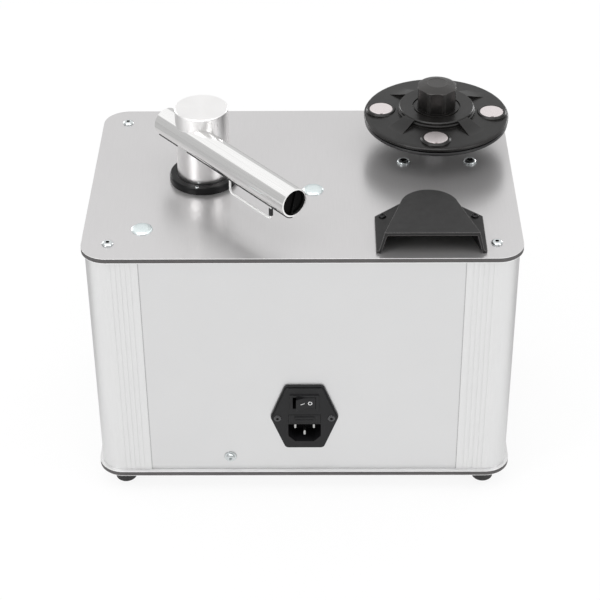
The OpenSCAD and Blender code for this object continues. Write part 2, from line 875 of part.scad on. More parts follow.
module platter() {
    color(black) translate([spin_x, spin_y, z_top + platter_z - platter_t]) difference() {
        rotate_extrude($fn = 128) {
            polygon([[stud_r + 0.02, 0], [platter_r - 0.8, 0], [platter_r, 0.8],
                [platter_r, platter_t - 0.5], [platter_r - 0.5, platter_t], [mat_r, platter_t],
                [mat_r, platter_t - mat_t], [stud_r + 0.02, platter_t - mat_t]]);
            translate([spindle_r + 0.02, -6]) square([platter_hub_r - spindle_r, 6.01]);
        }
    }
}

module platter_mat() {
    color(rubber) translate([spin_x, spin_y, z_top + platter_z - mat_t]) rotate_extrude($fn = 128)
        polygon([[stud_r + 0.6, 0], [mat_r - 0.1, 0], [mat_r - 0.1, mat_t + 0.15],
            [mat_r - 5, mat_t + 0.15], [mat_r - 5, mat_t], [stud_r + 0.6, mat_t]]);
}

// Clamp

clamp_z = z_top + platter_z + clamp_gap;
surface_in = hub_h - 4.8;
insert_top = 5.7;
pocket_r = insert_r + 0.05;
groove_at = 16.8;
groove_out = groove_at + 1.4;
boss_bore_r = 9.05;
clamp_bore_r = stud_r + 0.5;
spoke_angle = 20;
spoke_end = 44;

// Height of the clamp's top at radius r, from the hub to the edge
function clamp_top(r) = surface_in - (surface_in - rim_h + 0.1) * (r - hub_r) / (clamp_r - 3 - hub_r);

module at_inserts() {
    for (a = [0 : 90 : 270]) rotate([0, 0, a + insert_turn]) translate([insert_at, 0, 0])
        rotate([0, 0, -a - insert_turn]) children();
}

// Four ridges between the inserts run from the hub's top down to the dish
module clamp_spokes() {
    for (a = [45 : 90 : 315]) rotate([0, 0, a + insert_turn - spoke_angle / 2])
        rotate_extrude(angle = spoke_angle, $fn = 128)
            polygon([[hub_r - 1, 2], [spoke_end, 2], [spoke_end, clamp_top(spoke_end)],
                [hub_r + 7, clamp_top(hub_r) + 1.6], [hub_r + 2, hub_h - 1.2], [hub_r - 1, hub_h - 0.6]]);
}

module clamp_disc() {
    color(soft_black) translate([spin_x, spin_y, clamp_z]) difference() {
        union() {
            rotate_extrude($fn = 128)
                polygon([[clamp_bore_r, 0], [clamp_r - 1, 0], [clamp_r, 0.9], [clamp_r, rim_h - 1.5],
                    [clamp_r - 0.5, rim_h - 0.8], [clamp_r - 1.4, rim_h - 0.3], [clamp_r - 3, rim_h - 0.1],
                    [hub_r + 0.9, surface_in], [hub_r + 0.9, hub_h - 2.9], [hub_r, hub_h - 2.4],
                    [hub_r, hub_h - 0.7], [hub_r - 0.7, hub_h], [hub_r - 2.4, hub_h],
                    [groove_out + 2, knob_seat], [clamp_bore_r, knob_seat]]);
            clamp_spokes();
            at_inserts() rotate_extrude($fn = 64)
                polygon([[0, 2], [insert_r + 2.6, 2], [insert_r + 2.4, insert_top - 0.9],
                    [insert_r + 1.4, insert_top + 0.1], [0, insert_top + 0.1]]);
        }
        at_inserts() translate([0, 0, 2]) cylinder(r = pocket_r, h = 10, $fn = 64);
        translate([0, 0, knob_seat - 1.2]) rotate_extrude($fn = 96)
            translate([groove_at, 0]) square([groove_out - groove_at, 2]);
        translate([0, 0, knob_seat - 4]) cylinder(r = boss_bore_r, h = 5, $fn = 64);
        translate([0, 0, -0.01]) rotate_extrude($fn = 128)
            translate([clamp_r - 7, 0]) square([4.5, 0.9]);
    }
}

module clamp_pad() {
    color(rubber) translate([spin_x, spin_y, clamp_z]) rotate_extrude($fn = 128)
        polygon([[clamp_r - 6.95, 0.89], [clamp_r - 6.4, -0.2], [clamp_r - 3.1, -0.2], [clamp_r - 2.55, 0.89]]);
}

module clamp_inserts() {
    color(polished) translate([spin_x, spin_y, clamp_z]) at_inserts() difference() {
        rotate_extrude($fn = 64)
            polygon([[0, 2], [insert_r, 2], [insert_r, insert_top - 0.3], [insert_r - 0.5, insert_top],
                [0, insert_top]]);
        translate([0, -insert_r, insert_top - 0.8]) cylinder(r = 1.2, h = 2, $fn = 24);
    }
}

// Eight broad flats with a narrow one at each corner, a broad one facing each insert
module knob_prism(h) {
    rotate([0, 0, 22.5 + insert_turn]) intersection() {
        cylinder(r = knob_flat / cos(22.5), h = h, $fn = 8);
        rotate([0, 0, 22.5]) cylinder(r = (knob_flat + knob_edge) / cos(22.5), h = h, $fn = 8);
    }
}

module clamp_knob() {
    dome = 2.4;
    over = knob_flat / cos(22.5);
    color(black) translate([spin_x, spin_y, clamp_z + knob_seat]) difference() {
        union() {
            intersection() {
                translate([0, 0, 0.3]) knob_prism(knob_h + dome);
                rotate_extrude($fn = 96)
                    polygon([[0, 0], [over, 0], [over, knob_h - 0.9], [knob_flat, knob_h],
                        [knob_flat - 1.8, knob_h + 0.9], [knob_flat - 4, knob_h + 1.6], [7.4, knob_h + dome],
                        [6.8, knob_h + dome - 0.4], [0, knob_h + dome - 0.5]]);
            }
            translate([0, 0, -3.9]) cylinder(r = 9, h = 4.3, $fn = 64);
        }
        translate([0, 0, -5]) cylinder(r = stud_r + running, h = 5 + stud_over + 1, $fn = 48);
    }
}

// Arm

bush_out = 20.3;
bush_low = 20;
bush_seat = running - bush_low + 2.4;
post_low = 8;
neck_r = 11.4;
neck_bore = 9.4;
tube_mouth_r = 4.2;
post_bore = 12.6;

// Puts what is drawn with the tube along +x, on its post, where the parked arm is
module on_arm() {
    translate([arm_x, arm_y, z_top]) rotate([0, 0, park]) children();
}

module arm_ring() {
    color(black) difference() {
        translate([arm_x, arm_y, z_top]) rotate_extrude($fn = 96)
            polygon([[bush_out + running, ring_h], [bush_out + running, -bush_low],
                [post_r - 1, -bush_low], [post_r - 1, -bush_low - 3.6],
                [sleeve_r, -bush_low - 3.6], [sleeve_r, 0], [ring_r, 0],
                [ring_r, ring_h - 1.8], [ring_r - 0.4, ring_h - 0.6], [ring_r - 1, ring_h]]);
        at_ring_screws() {
            translate([0, 0, z_top - 1]) cylinder(r = ring_screw_r + ring_screw_gap, h = ring_h + 2, $fn = 32);
            translate([0, 0, z_top + ring_h - ring_sink]) cylinder(r = ring_head_r + 0.05, h = 2, $fn = 32);
        }
    }
}

module ring_screws() {
    color(steel) at_ring_screws() translate([0, 0, z_top + ring_h - ring_sink])
        dome_screw(ring_head_r, 1.1, ring_screw_r, ring_h - ring_sink + plate_t + 4, 0.8);
}

module arm_bush() {
    color(black) translate([arm_x, arm_y, z_top]) rotate_extrude($fn = 96)
        polygon([[post_r + running, ring_h - 0.4], [post_r + running, bush_seat],
            [post_bore + 0.6, bush_seat], [post_bore + 0.6, running - bush_low],
            [bush_out, running - bush_low], [bush_out, ring_h - 0.4]]);
}

spring_r = 16;
spring_wire = 0.6;
spring_turns = 4;

// The wire goes round along a helix between the bush's floor and the post
module arm_spring() {
    low = bush_seat + spring_wire + 0.02;
    high = -post_low - spring_wire - 0.02;
    steps = 24;
    sides = 6;
    n = spring_turns * steps;
    ring = [for (i = [0 : n]) let (a = 360 * i / steps, z = low + (high - low) * i / n)
        for (k = [0 : sides - 1]) let (b = 360 * k / sides)
            [(spring_r + spring_wire * cos(b)) * cos(a), (spring_r + spring_wire * cos(b)) * sin(a),
                z + spring_wire * sin(b)]];
    sides_faces = [for (i = [0 : n - 1], k = [0 : sides - 1])
        let (p = i * sides + k, q = i * sides + (k + 1) % sides)
        each [[p, p + sides, q], [q, p + sides, q + sides]]];
    start = [for (k = [1 : sides - 2]) [0, k, k + 1]];
    end = [for (k = [1 : sides - 2]) [n * sides, n * sides + k + 1, n * sides + k]];
    color(steel) translate([arm_x, arm_y, z_top]) polyhedron(ring, concat(sides_faces, start, end));
}

module arm_post() {
    color(polished) on_arm() difference() {
        rotate_extrude($fn = 96)
            polygon([[0, -post_low], [post_r, -post_low], [post_r, post_z - 0.5],
                [post_r - 0.5, post_z], [0, post_z]]);
        translate([0, 0, -post_low - 1]) cylinder(r = post_bore, h = post_low + 1 + tube_z, $fn = 64);
        translate([-post_r - 5, -tube_off, tube_z]) rotate([0, 90, 0])
            cylinder(r = tube_r + 0.02, h = 2 * post_r + 10, $fn = 96);
    }
}

module neck_seal() {
    color(rubber) translate([arm_x, arm_y, z_top + 4]) rotate_extrude($fn = 64)
        polygon([[neck_r + 0.02, 0], [post_bore - running, 0.5], [post_bore - running, 1.5],
            [neck_r + 0.02, 2]]);
}

// Puts what is drawn along +x, centred on the tube's axis, at the tube
module on_tube() {
    on_arm() translate([0, -tube_off, tube_z]) children();
}

module suction_tube() {
    color(polished) on_tube() difference() {
        translate([-tube_in, 0, 0]) rotate([0, 90, 0])
            cylinder(r = tube_r, h = tube_in + tube_out, $fn = 96);
        translate([-tube_in - 1, 0, 0]) rotate([0, 90, 0])
            cylinder(r = tube_r - tube_wall, h = tube_in + tube_out + 2, $fn = 96);
        translate([slot_from, -slot_w / 2, -tube_r - 1]) cube([slot_l, slot_w, tube_r + 1]);
        translate([0, tube_off / 2, -tube_r - 1]) cylinder(r = tube_mouth_r, h = tube_r + 1, $fn = 48);
        for (x = [wire_from, wire_from + wire_l])
            translate([x, wire_side, -tube_r - 1]) cylinder(r = wire_r + 0.02, h = 4, $fn = 16);
    }
}

felt_w = 2.4;

module felt_strips() {
    color(felt_black) on_tube() for (s = [-1, 1]) difference() {
        translate([-tube_in, s > 0 ? slot_w / 2 : -slot_w / 2 - felt_w, -tube_r - felt_h])
            cube([tube_in + tube_out, felt_w, tube_r]);
        translate([-tube_in - 1, 0, 0]) rotate([0, 90, 0])
            cylinder(r = tube_r + 0.02, h = tube_in + tube_out + 2, $fn = 96);
        translate([0, tube_off, -tube_r - 3]) cylinder(r = post_r + 0.1, h = 2 * tube_r, $fn = 96);
    }
}

plug_t = 5;
bar_w = 1.4;
bar_at = 1.2;
plug_in = 1.4;

module tube_plug() {
    r = tube_r - tube_wall - 0.02;
    difference() {
        rotate([0, 90, 0]) cylinder(r = r, h = plug_t, $fn = 64);
        translate([plug_t - 1.2, 0, 0]) rotate([-16, 0, 0]) intersection() {
            rotate([0, 90, 0]) cylinder(r = r - 0.6, h = 3, $fn = 64);
            union() {
                translate([0, bar_at + bar_w / 2, -r]) cube([4, r, 2 * r]);
                translate([0, bar_at - bar_w / 2 - 2 * r, -r]) cube([4, 2 * r, 2 * r]);
            }
        }
    }
}

module tube_plugs() {
    color(felt_black) on_tube() {
        translate([tube_out - plug_in - plug_t, 0, 0]) tube_plug();
        translate([-tube_in + plug_in + plug_t, 0, 0]) mirror([1, 0, 0]) tube_plug();
    }
}

wire_side = -slot_w / 2 - felt_w - 1.4;
bend_r = 3;
wire_top = -sqrt(tube_r * tube_r - wire_side * wire_side) + tube_wall - 0.2;
wire_low = -tube_r - wire_drop;

module quarter_bend() {
    rotate([90, 0, 0]) rotate_extrude(angle = 90, $fn = 32) translate([bend_r, 0])
        circle(r = wire_r, $fn = 16);
}

module wire_leg(h) {
    cylinder(r = wire_r, h = h, $fn = 16);
}

module wire_loop() {
    leg_h = wire_top - wire_low - bend_r;
    color(polished) on_tube() translate([wire_from, wire_side, wire_low]) {
        translate([0, 0, bend_r]) wire_leg(leg_h);
        translate([wire_l, 0, bend_r]) wire_leg(leg_h);
        translate([bend_r, 0, 0]) rotate([0, 90, 0]) wire_leg(wire_l - 2 * bend_r);
        translate([bend_r, 0, bend_r]) mirror([1, 0, 0]) mirror([0, 0, 1]) quarter_bend();
        translate([wire_l - bend_r, 0, bend_r]) mirror([0, 0, 1]) quarter_bend();
    }
}

module wire_sleeve() {
    color(black) on_tube() translate([wire_from + wire_l, wire_side, wire_low + bend_r + 0.2])
        rotate_extrude($fn = 32) {
            translate([wire_r + 0.02, 0]) square([0.7, 2.4]);
            translate([wire_r + 0.02, 3]) square([0.7, 2.4]);
            translate([wire_r + 0.02, 0]) square([0.4, 5.4]);
        }
}

// Waste tank

tank_top = z_high - tank_space;
lid_top = tank_top + lid_t;
lid_lip = 2;
tank_x0 = lid_gap + lid_lip - inner_x;
tank_y1 = corner_y - channel_r - channel_gap - lid_lip;
tank_w = tank_x1 - tank_x0;
tank_d = tank_y1 - tank_y0;
tank_cx = (tank_x0 + tank_x1) / 2;
tank_cy = (tank_y0 + tank_y1) / 2;
tank_r = 12;
gasket_t = 1.5;
port_z = tank_top - 6 - hose_r;
port_y = vac_y + 14;
spigot_l = 16;
hose_wall = 2;

module tank() {
    color(tank_white) difference() {
        union() {
            translate([tank_cx, tank_cy, tank_top - tank_h]) linear_extrude(tank_h - gasket_t)
                round_rect(tank_w, tank_d, tank_r);
            translate([tank_x1 - 2, port_y, port_z]) rotate([0, 90, 0])
                cylinder(r = hose_r - hose_wall - 0.05, h = spigot_l + 2, $fn = 64);
        }
        translate([tank_cx, tank_cy, tank_top - tank_h + tank_wall]) linear_extrude(tank_h)
            round_rect(tank_w - 2 * tank_wall, tank_d - 2 * tank_wall, tank_r - tank_wall);
        translate([tank_x1 - 10, port_y, port_z]) rotate([0, 90, 0])
            cylinder(r = hose_r - 2 * hose_wall, h = spigot_l + 20, $fn = 64);
    }
}

boss_r = 8;

// The lid, with its neck up into the arm's post and two ears that hang it from the top plate
module tank_lid() {
    ear_top = z_high;
    color(tank_white) difference() {
        union() {
            translate([tank_cx, tank_cy, tank_top]) linear_extrude(lid_t)
                round_rect(tank_w + 2 * lid_lip, tank_d + 2 * lid_lip, tank_r + lid_lip);
            translate([0, 0, tank_top]) linear_extrude(lid_t) {
                translate([bolt_a_x - boss_r, bolt_a_y]) square([2 * boss_r, tank_y0 - bolt_a_y + 4]);
                translate([tank_x1 - 4, bolt_b_y - boss_r]) square([bolt_b_x - tank_x1 + 4, 2 * boss_r]);
            }
            at_large_bolts() translate([0, 0, tank_top]) cylinder(r = boss_r, h = ear_top - tank_top, $fn = 48);
            translate([arm_x, arm_y, tank_top]) cylinder(r = neck_r, h = z_top + 8 - tank_top, $fn = 64);
            translate([arm_x, arm_y, tank_top]) cylinder(r1 = neck_r + 8, r2 = neck_r, h = 12, $fn = 64);
        }
        translate([arm_x, arm_y, tank_top - 1]) cylinder(r = neck_bore, h = tank_space + plate_t + 20, $fn = 64);
        at_large_bolts() translate([0, 0, tank_top - 1])
            cylinder(r = bolt_r + screw_gap, h = tank_space + 2, $fn = 32);
    }
}

module tank_gasket() {
    color(rubber) translate([tank_cx, tank_cy, tank_top - gasket_t]) linear_extrude(gasket_t) difference() {
        round_rect(tank_w, tank_d, tank_r);
        round_rect(tank_w - 2 * tank_wall, tank_d - 2 * tank_wall, tank_r - tank_wall);
    }
}

// Flat round bolts through the top plate and the lid's ears, each with its nut
module tank_bolts() {
    nut_h = 4.6;
    color(steel) at_large_bolts() {
        translate([0, 0, z_top]) rotate_extrude($fn = 64)
            polygon([[0, 0], [bolt_head_r, 0], [bolt_head_r, 0.5], [bolt_head_r * 0.86, bolt_head_h * 0.62],
                [bolt_head_r * 0.6, bolt_head_h * 0.9], [bolt_head_r * 0.3, bolt_head_h], [0, bolt_head_h]]);
        translate([0, 0, tank_top - nut_h - 3])
            cylinder(r = bolt_r, h = z_top - tank_top + nut_h + 3, $fn = 32);
        translate([0, 0, tank_top - nut_h]) difference() {
            cylinder(r = 5.2, h = nut_h, $fn = 6);
            translate([0, 0, -1]) cylinder(r = bolt_r + 0.02, h = nut_h + 2, $fn = 32);
        }
    }
}

// Vacuum motor

mount_h = 6;
can_z = z_low + mount_h;
fan_z = can_z + can_h;
cover_z = fan_z + fan_h;
shaft_r = 4;
eye_r = 16;
fan_gap = 1.5;

module at_vac() {
    translate([vac_x, vac_y, 0]) children();
}

module vacuum_motor() {
    slots = 10;
    color(motor_grey) at_vac() difference() {
        union() {
            translate([0, 0, can_z]) cylinder(r = can_r, h = can_h, $fn = 96);
            translate([0, 0, can_z + can_h * 0.45]) cylinder(r = can_r + 3, h = 5, $fn = 96);
        }
        translate([0, 0, can_z + 8]) for (i = [0 : slots - 1]) rotate([0, 0, 360 * i / slots])
            translate([can_r - 5, -3, 0]) cube([8, 6, can_h * 0.3]);
        translate([0, 0, can_z + 12]) cylinder(r = shaft_r + 0.06, h = can_h, $fn = 48);
    }
}

module fan_casing() {
    wall = 2;
    color(casing_grey) at_vac() translate([0, 0, fan_z]) rotate_extrude($fn = 96)
        polygon([[shaft_r + 0.5, 0], [fan_r - 2, 0], [fan_r, 2], [fan_r, fan_h], [fan_r - wall, fan_h],
            [fan_r - wall, wall + 1], [fan_r - wall - 1, wall], [shaft_r + 0.5, wall]]);
}

wheel_r = fan_r - 6;
blade_n = 9;

// The fan's wheel: two discs with bent blades between them, on the motor's shaft
module fan_wheel() {
    disc_t = 1.2;
    wheel_z = fan_z + 2 + fan_gap;
    wheel_h = fan_h - 2 - 2 * fan_gap - 1;
    sweep = 52;
    blade_r = 27.3;
    blade_in = 8.7;
    blade_t = 1.2;
    color(wheel_grey) at_vac() {
        translate([0, 0, can_z + 14]) cylinder(r = shaft_r, h = wheel_z + wheel_h - can_z - 18, $fn = 48);
        translate([0, 0, wheel_z]) cylinder(r = wheel_r, h = disc_t, $fn = 96);
        translate([0, 0, wheel_z + wheel_h - disc_t]) difference() {
            cylinder(r = wheel_r, h = disc_t, $fn = 96);
            translate([0, 0, -1]) cylinder(r = eye_r, h = 4, $fn = 64);
        }
        translate([0, 0, wheel_z]) cylinder(r = 8, h = 10, $fn = 64);
        for (i = [0 : blade_n - 1]) rotate([0, 0, 360 * i / blade_n])
            translate([eye_r + 1 - blade_r * (1 - cos(sweep)), -blade_in, wheel_z + disc_t / 2])
                rotate_extrude(angle = sweep, $fn = 96) translate([blade_r, 0])
                    square([blade_t, wheel_h - disc_t]);
    }
}

cup_r = 26;
cup_h = port_z + hose_r - cover_z;
spigot_x = vac_x - 38;

module fan_cover() {
    color(black) difference() {
        union() {
            at_vac() translate([0, 0, cover_z]) cylinder(r = fan_r, h = 3, $fn = 96);
            at_vac() translate([0, 0, cover_z]) cylinder(r = cup_r, h = cup_h, $fn = 64);
            translate([spigot_x, port_y, port_z]) rotate([0, 90, 0])
                cylinder(r = hose_r - hose_wall - 0.05, h = vac_x - spigot_x, $fn = 64);
        }
        at_vac() translate([0, 0, cover_z - 1]) cylinder(r = eye_r - 1, h = 4, $fn = 64);
        at_vac() translate([0, 0, cover_z + 3]) cylinder(r = cup_r - 2.4, h = cup_h - 5.4, $fn = 64);
        translate([spigot_x - 1, port_y, port_z]) rotate([0, 90, 0])
            cylinder(r = hose_r - 2 * hose_wall, h = 26, $fn = 64);
    }
}

// A straight ribbed hose along x between the tank's spigot and the fan cover's
module suction_hose() {
    x0 = tank_x1 + 0.4;
    length = spigot_x + 12 - x0;
    cuff = 10;
    run = length - 2 * cuff;
    pitch = run / hose_ribs;
    color(black) translate([x0, port_y, port_z]) rotate([90, 0, 90]) rotate_extrude($fn = 64)
        polygon(concat([[hose_r - hose_wall, 0], [hose_r, 0], [hose_r, cuff]],
            [for (i = [0 : hose_ribs - 1]) each [[hose_r - 1, cuff + (i + 0.15) * pitch],
                [hose_r + 1, cuff + (i + 0.35) * pitch], [hose_r + 1, cuff + (i + 0.65) * pitch],
                [hose_r - 1, cuff + (i + 0.85) * pitch]]],
            [[hose_r, length - cuff], [hose_r, length], [hose_r - hose_wall, length]]));
}

ear_t = 2;

// A rubber cup under the motor, screwed to the bottom plate by three ears
module motor_mount() {
    color(rubber) at_vac() translate([0, 0, z_low]) difference() {
        union() {
            cylinder(r = can_r + ear_t + 0.3, h = 12, $fn = 96);
            for (a = [30 : 120 : 270]) rotate([0, 0, a]) translate([0, -8, 0])
                cube([mount_screw_at + 7, 16, ear_t]);
        }
        translate([0, 0, mount_h]) cylinder(r = can_r + 0.3, h = 12, $fn = 96);
        translate([0, 0, -1]) cylinder(r = can_r - 8, h = 12, $fn = 96);
        for (a = [30 : 120 : 270]) rotate([0, 0, a]) translate([mount_screw_at, 0, -1])
            cylinder(r = mount_screw_r + screw_gap, h = 6, $fn = 32);
    }
}

// The screws of the motor's mount and of the control board
module inner_screws() {
    color(steel) {
        at_mount_screws() translate([0, 0, z_low + ear_t])
            dome_screw(3.6, 2.2, mount_screw_r, ear_t + plate_t - 0.6, 1.5);
        at_board_posts() translate([0, 0, board_z + board_t])
            dome_screw(2.6, 1.6, board_hole_r, board_t + 4, 1);
    }
}

// Control board

post_h = 8;
board_z = z_low + post_h;
transformer = [28, 24, 20];
relay = [13, 16, 15];
relay_pitch = 16;
capacitor_r = 7;
capacitor_h = 18;

// The board with a transformer, two relays and a capacitor on it
module control_board() {
    color(board_green) {
        difference() {
            translate([board_x - board_w / 2, board_y - board_d / 2, board_z])
                cube([board_w, board_d, board_t]);
            at_board_posts() translate([0, 0, board_z - 1])
                cylinder(r = board_hole_r + screw_gap, h = board_t + 2, $fn = 32);
        }
        translate([board_x, board_y, board_z + board_t]) {
            translate([-20, -transformer[1] / 2, 0]) cube(transformer);
            for (i = [0 : 1]) translate([14 + i * relay_pitch, -relay[1] / 2, 0]) cube(relay);
            translate([-32, 0, 0]) cylinder(r = capacitor_r, h = capacitor_h, $fn = 48);
        }
    }
}

module board_posts() {
    color(steel) at_board_posts() difference() {
        union() {
            translate([0, 0, z_low]) cylinder(r = 3.2, h = post_h, $fn = 6);
            translate([0, 0, foot_h + skin_t]) cylinder(r = board_hole_r, h = plate_t, $fn = 32);
        }
        translate([0, 0, board_z - 4.5]) cylinder(r = board_hole_r + 0.02, h = 5, $fn = 32);
    }
}

bottom_plate_core();
bottom_plate_skins();
top_plate_core();
top_plate_skins();
profile_rear_left();
profile_rear_right();
profile_front_left();
profile_front_right();
panel_rear();
panel_front();
panel_left();
panel_right();
feet();
foot_screws();
case_screws();
exhaust_hood();
hood_screws();
inlet_housing();
inlet_pins();
inlet_screws();
fuse_drawer();
mains_rocker();
earth_terminal();
switch_bezels();
rotation_rocker();
suction_rocker();
gearbox();
drive_motor();
motor_screws();
spindle();
platter();
platter_mat();
clamp_disc();
clamp_pad();
clamp_inserts();
clamp_knob();
arm_ring();
ring_screws();
arm_bush();
arm_spring();
arm_post();
neck_seal();
suction_tube();
felt_strips();
tube_plugs();
wire_loop();
wire_sleeve();
tank();
tank_lid();
tank_gasket();
tank_bolts();
vacuum_motor();
fan_casing();
fan_wheel();
fan_cover();
suction_hose();
motor_mount();
control_board();
board_posts();
inner_screws();
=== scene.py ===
import json
import math

import bmesh
import bpy
from mathutils import Matrix, Vector, noise
from mathutils.bvhtree import BVHTree


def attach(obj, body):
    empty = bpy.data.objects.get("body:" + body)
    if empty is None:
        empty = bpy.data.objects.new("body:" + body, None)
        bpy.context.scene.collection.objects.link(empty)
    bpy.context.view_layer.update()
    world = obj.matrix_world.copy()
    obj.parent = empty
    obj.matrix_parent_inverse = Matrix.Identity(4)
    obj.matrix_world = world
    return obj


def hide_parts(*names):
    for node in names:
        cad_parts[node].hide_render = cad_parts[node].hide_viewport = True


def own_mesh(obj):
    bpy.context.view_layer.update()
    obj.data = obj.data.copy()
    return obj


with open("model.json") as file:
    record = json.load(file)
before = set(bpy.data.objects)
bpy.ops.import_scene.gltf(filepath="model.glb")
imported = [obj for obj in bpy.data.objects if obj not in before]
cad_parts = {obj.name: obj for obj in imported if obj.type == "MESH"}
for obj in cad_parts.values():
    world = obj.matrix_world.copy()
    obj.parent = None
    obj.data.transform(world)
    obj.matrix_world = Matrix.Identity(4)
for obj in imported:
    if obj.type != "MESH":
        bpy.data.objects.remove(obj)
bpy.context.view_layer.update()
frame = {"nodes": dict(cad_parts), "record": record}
nodes = frame["nodes"]
record = frame["record"]
MM = 0.001
SLOT_OF = {row["node"]: row["material_slot"] for row in record["subparts"]}
BODY_OF = {node: body for body, names in record["behaviour"]["bodies"].items() for node in names}


def placed(name, data):
    """A new object with that data, in the scene."""
    thing = bpy.data.objects.new(name, data)
    bpy.context.scene.collection.objects.link(thing)
    return thing


# Camera, solved from the case's edges: its place in metres, its angles and its focal length
# in pixels of the 600 x 600 picture
CAMERA_AT = Vector((0.01158, -1.13334, 0.90319))
CAMERA_PITCH = math.radians(35.174)
CAMERA_YAW = math.radians(-0.715)
CAMERA_ROLL = math.radians(-0.566)
FOCAL_PX = 1781.8
PICTURE_PX = 600
SENSOR_MM = 36
HALF_PIXEL = 0.5 / PICTURE_PX
CLIP_NEAR = 0.01
CLIP_FAR = 50


def make_camera():
    forward = Vector((
        math.sin(CAMERA_YAW) * math.cos(CAMERA_PITCH),
        math.cos(CAMERA_YAW) * math.cos(CAMERA_PITCH),
        -math.sin(CAMERA_PITCH),
    ))
    level = Vector((math.cos(CAMERA_YAW), -math.sin(CAMERA_YAW), 0))
    above = level.cross(forward)
    right = math.cos(CAMERA_ROLL) * level + math.sin(CAMERA_ROLL) * above
    up = math.cos(CAMERA_ROLL) * above - math.sin(CAMERA_ROLL) * level
    data = bpy.data.cameras.new("camera")
    data.sensor_width = SENSOR_MM
    data.lens = FOCAL_PX * SENSOR_MM / PICTURE_PX
    data.shift_x = -HALF_PIXEL
    data.shift_y = HALF_PIXEL
    data.clip_start = CLIP_NEAR
    data.clip_end = CLIP_FAR
    camera = placed("camera", data)
    turn = Matrix((right, up, -forward)).transposed().to_4x4()
    camera.matrix_world = Matrix.Translation(CAMERA_AT) @ turn
    bpy.context.scene.camera = camera


# The suction tube as the CAD has it, in millimetres: the turn of the parked arm, the place of its
# post on the case, and the tube's height, distance from the post's axis, radius and two reaches
PARK = math.radians(-50.1)
ARM_AT = Vector((-73.4, 4, 214))
TUBE_Z = 39.8
TUBE_OFF = 11.5
TUBE_R = 10.6
TUBE_IN = 28.6
TUBE_OUT = 120.5
SLOT_W = 3
POST_R = 19.5


# Shader nodes

def add_node(tree, kind, **settings):
    node = tree.nodes.new(kind)
    for key, value in settings.items():
        setattr(node, key, value)
    return node


def feed(tree, sockets, sources):
    """Gives sockets their sources in turn, each one an output of a node or a plain value."""
    for socket, source in zip(sockets, sources):
        if isinstance(source, bpy.types.NodeSocket):
            tree.links.new(source, socket)
        else:
            socket.default_value = source


def map_range(tree, source, span, result, interpolation="LINEAR"):
    """Takes a number from one span to another and stops it at both ends."""
    ramp = add_node(tree, "ShaderNodeMapRange", interpolation_type=interpolation)
    names = ("Value", "From Min", "From Max", "To Min", "To Max")
    feed(tree, [ramp.inputs[name] for name in names], (source, *span, *result))
    return ramp.outputs["Result"]


def calculate(tree, operation, first, second):
    """The result of one Math node on two numbers."""
    node = add_node(tree, "ShaderNodeMath", operation=operation)
    feed(tree, node.inputs, (first, second))
    return node.outputs["Value"]


# The span of a noise's values that holds nearly all of them
NOISE_SPAN = (0.28, 0.72)
# How well a rounded normal agrees with the true one where an edge begins to pale and where it is
# palest
EDGE_SPAN = (0.995, 0.9)
# The share of open sky where the painted shade in a joint is darkest and where it ends
JOINT_SPAN = (0.5, 0.85)


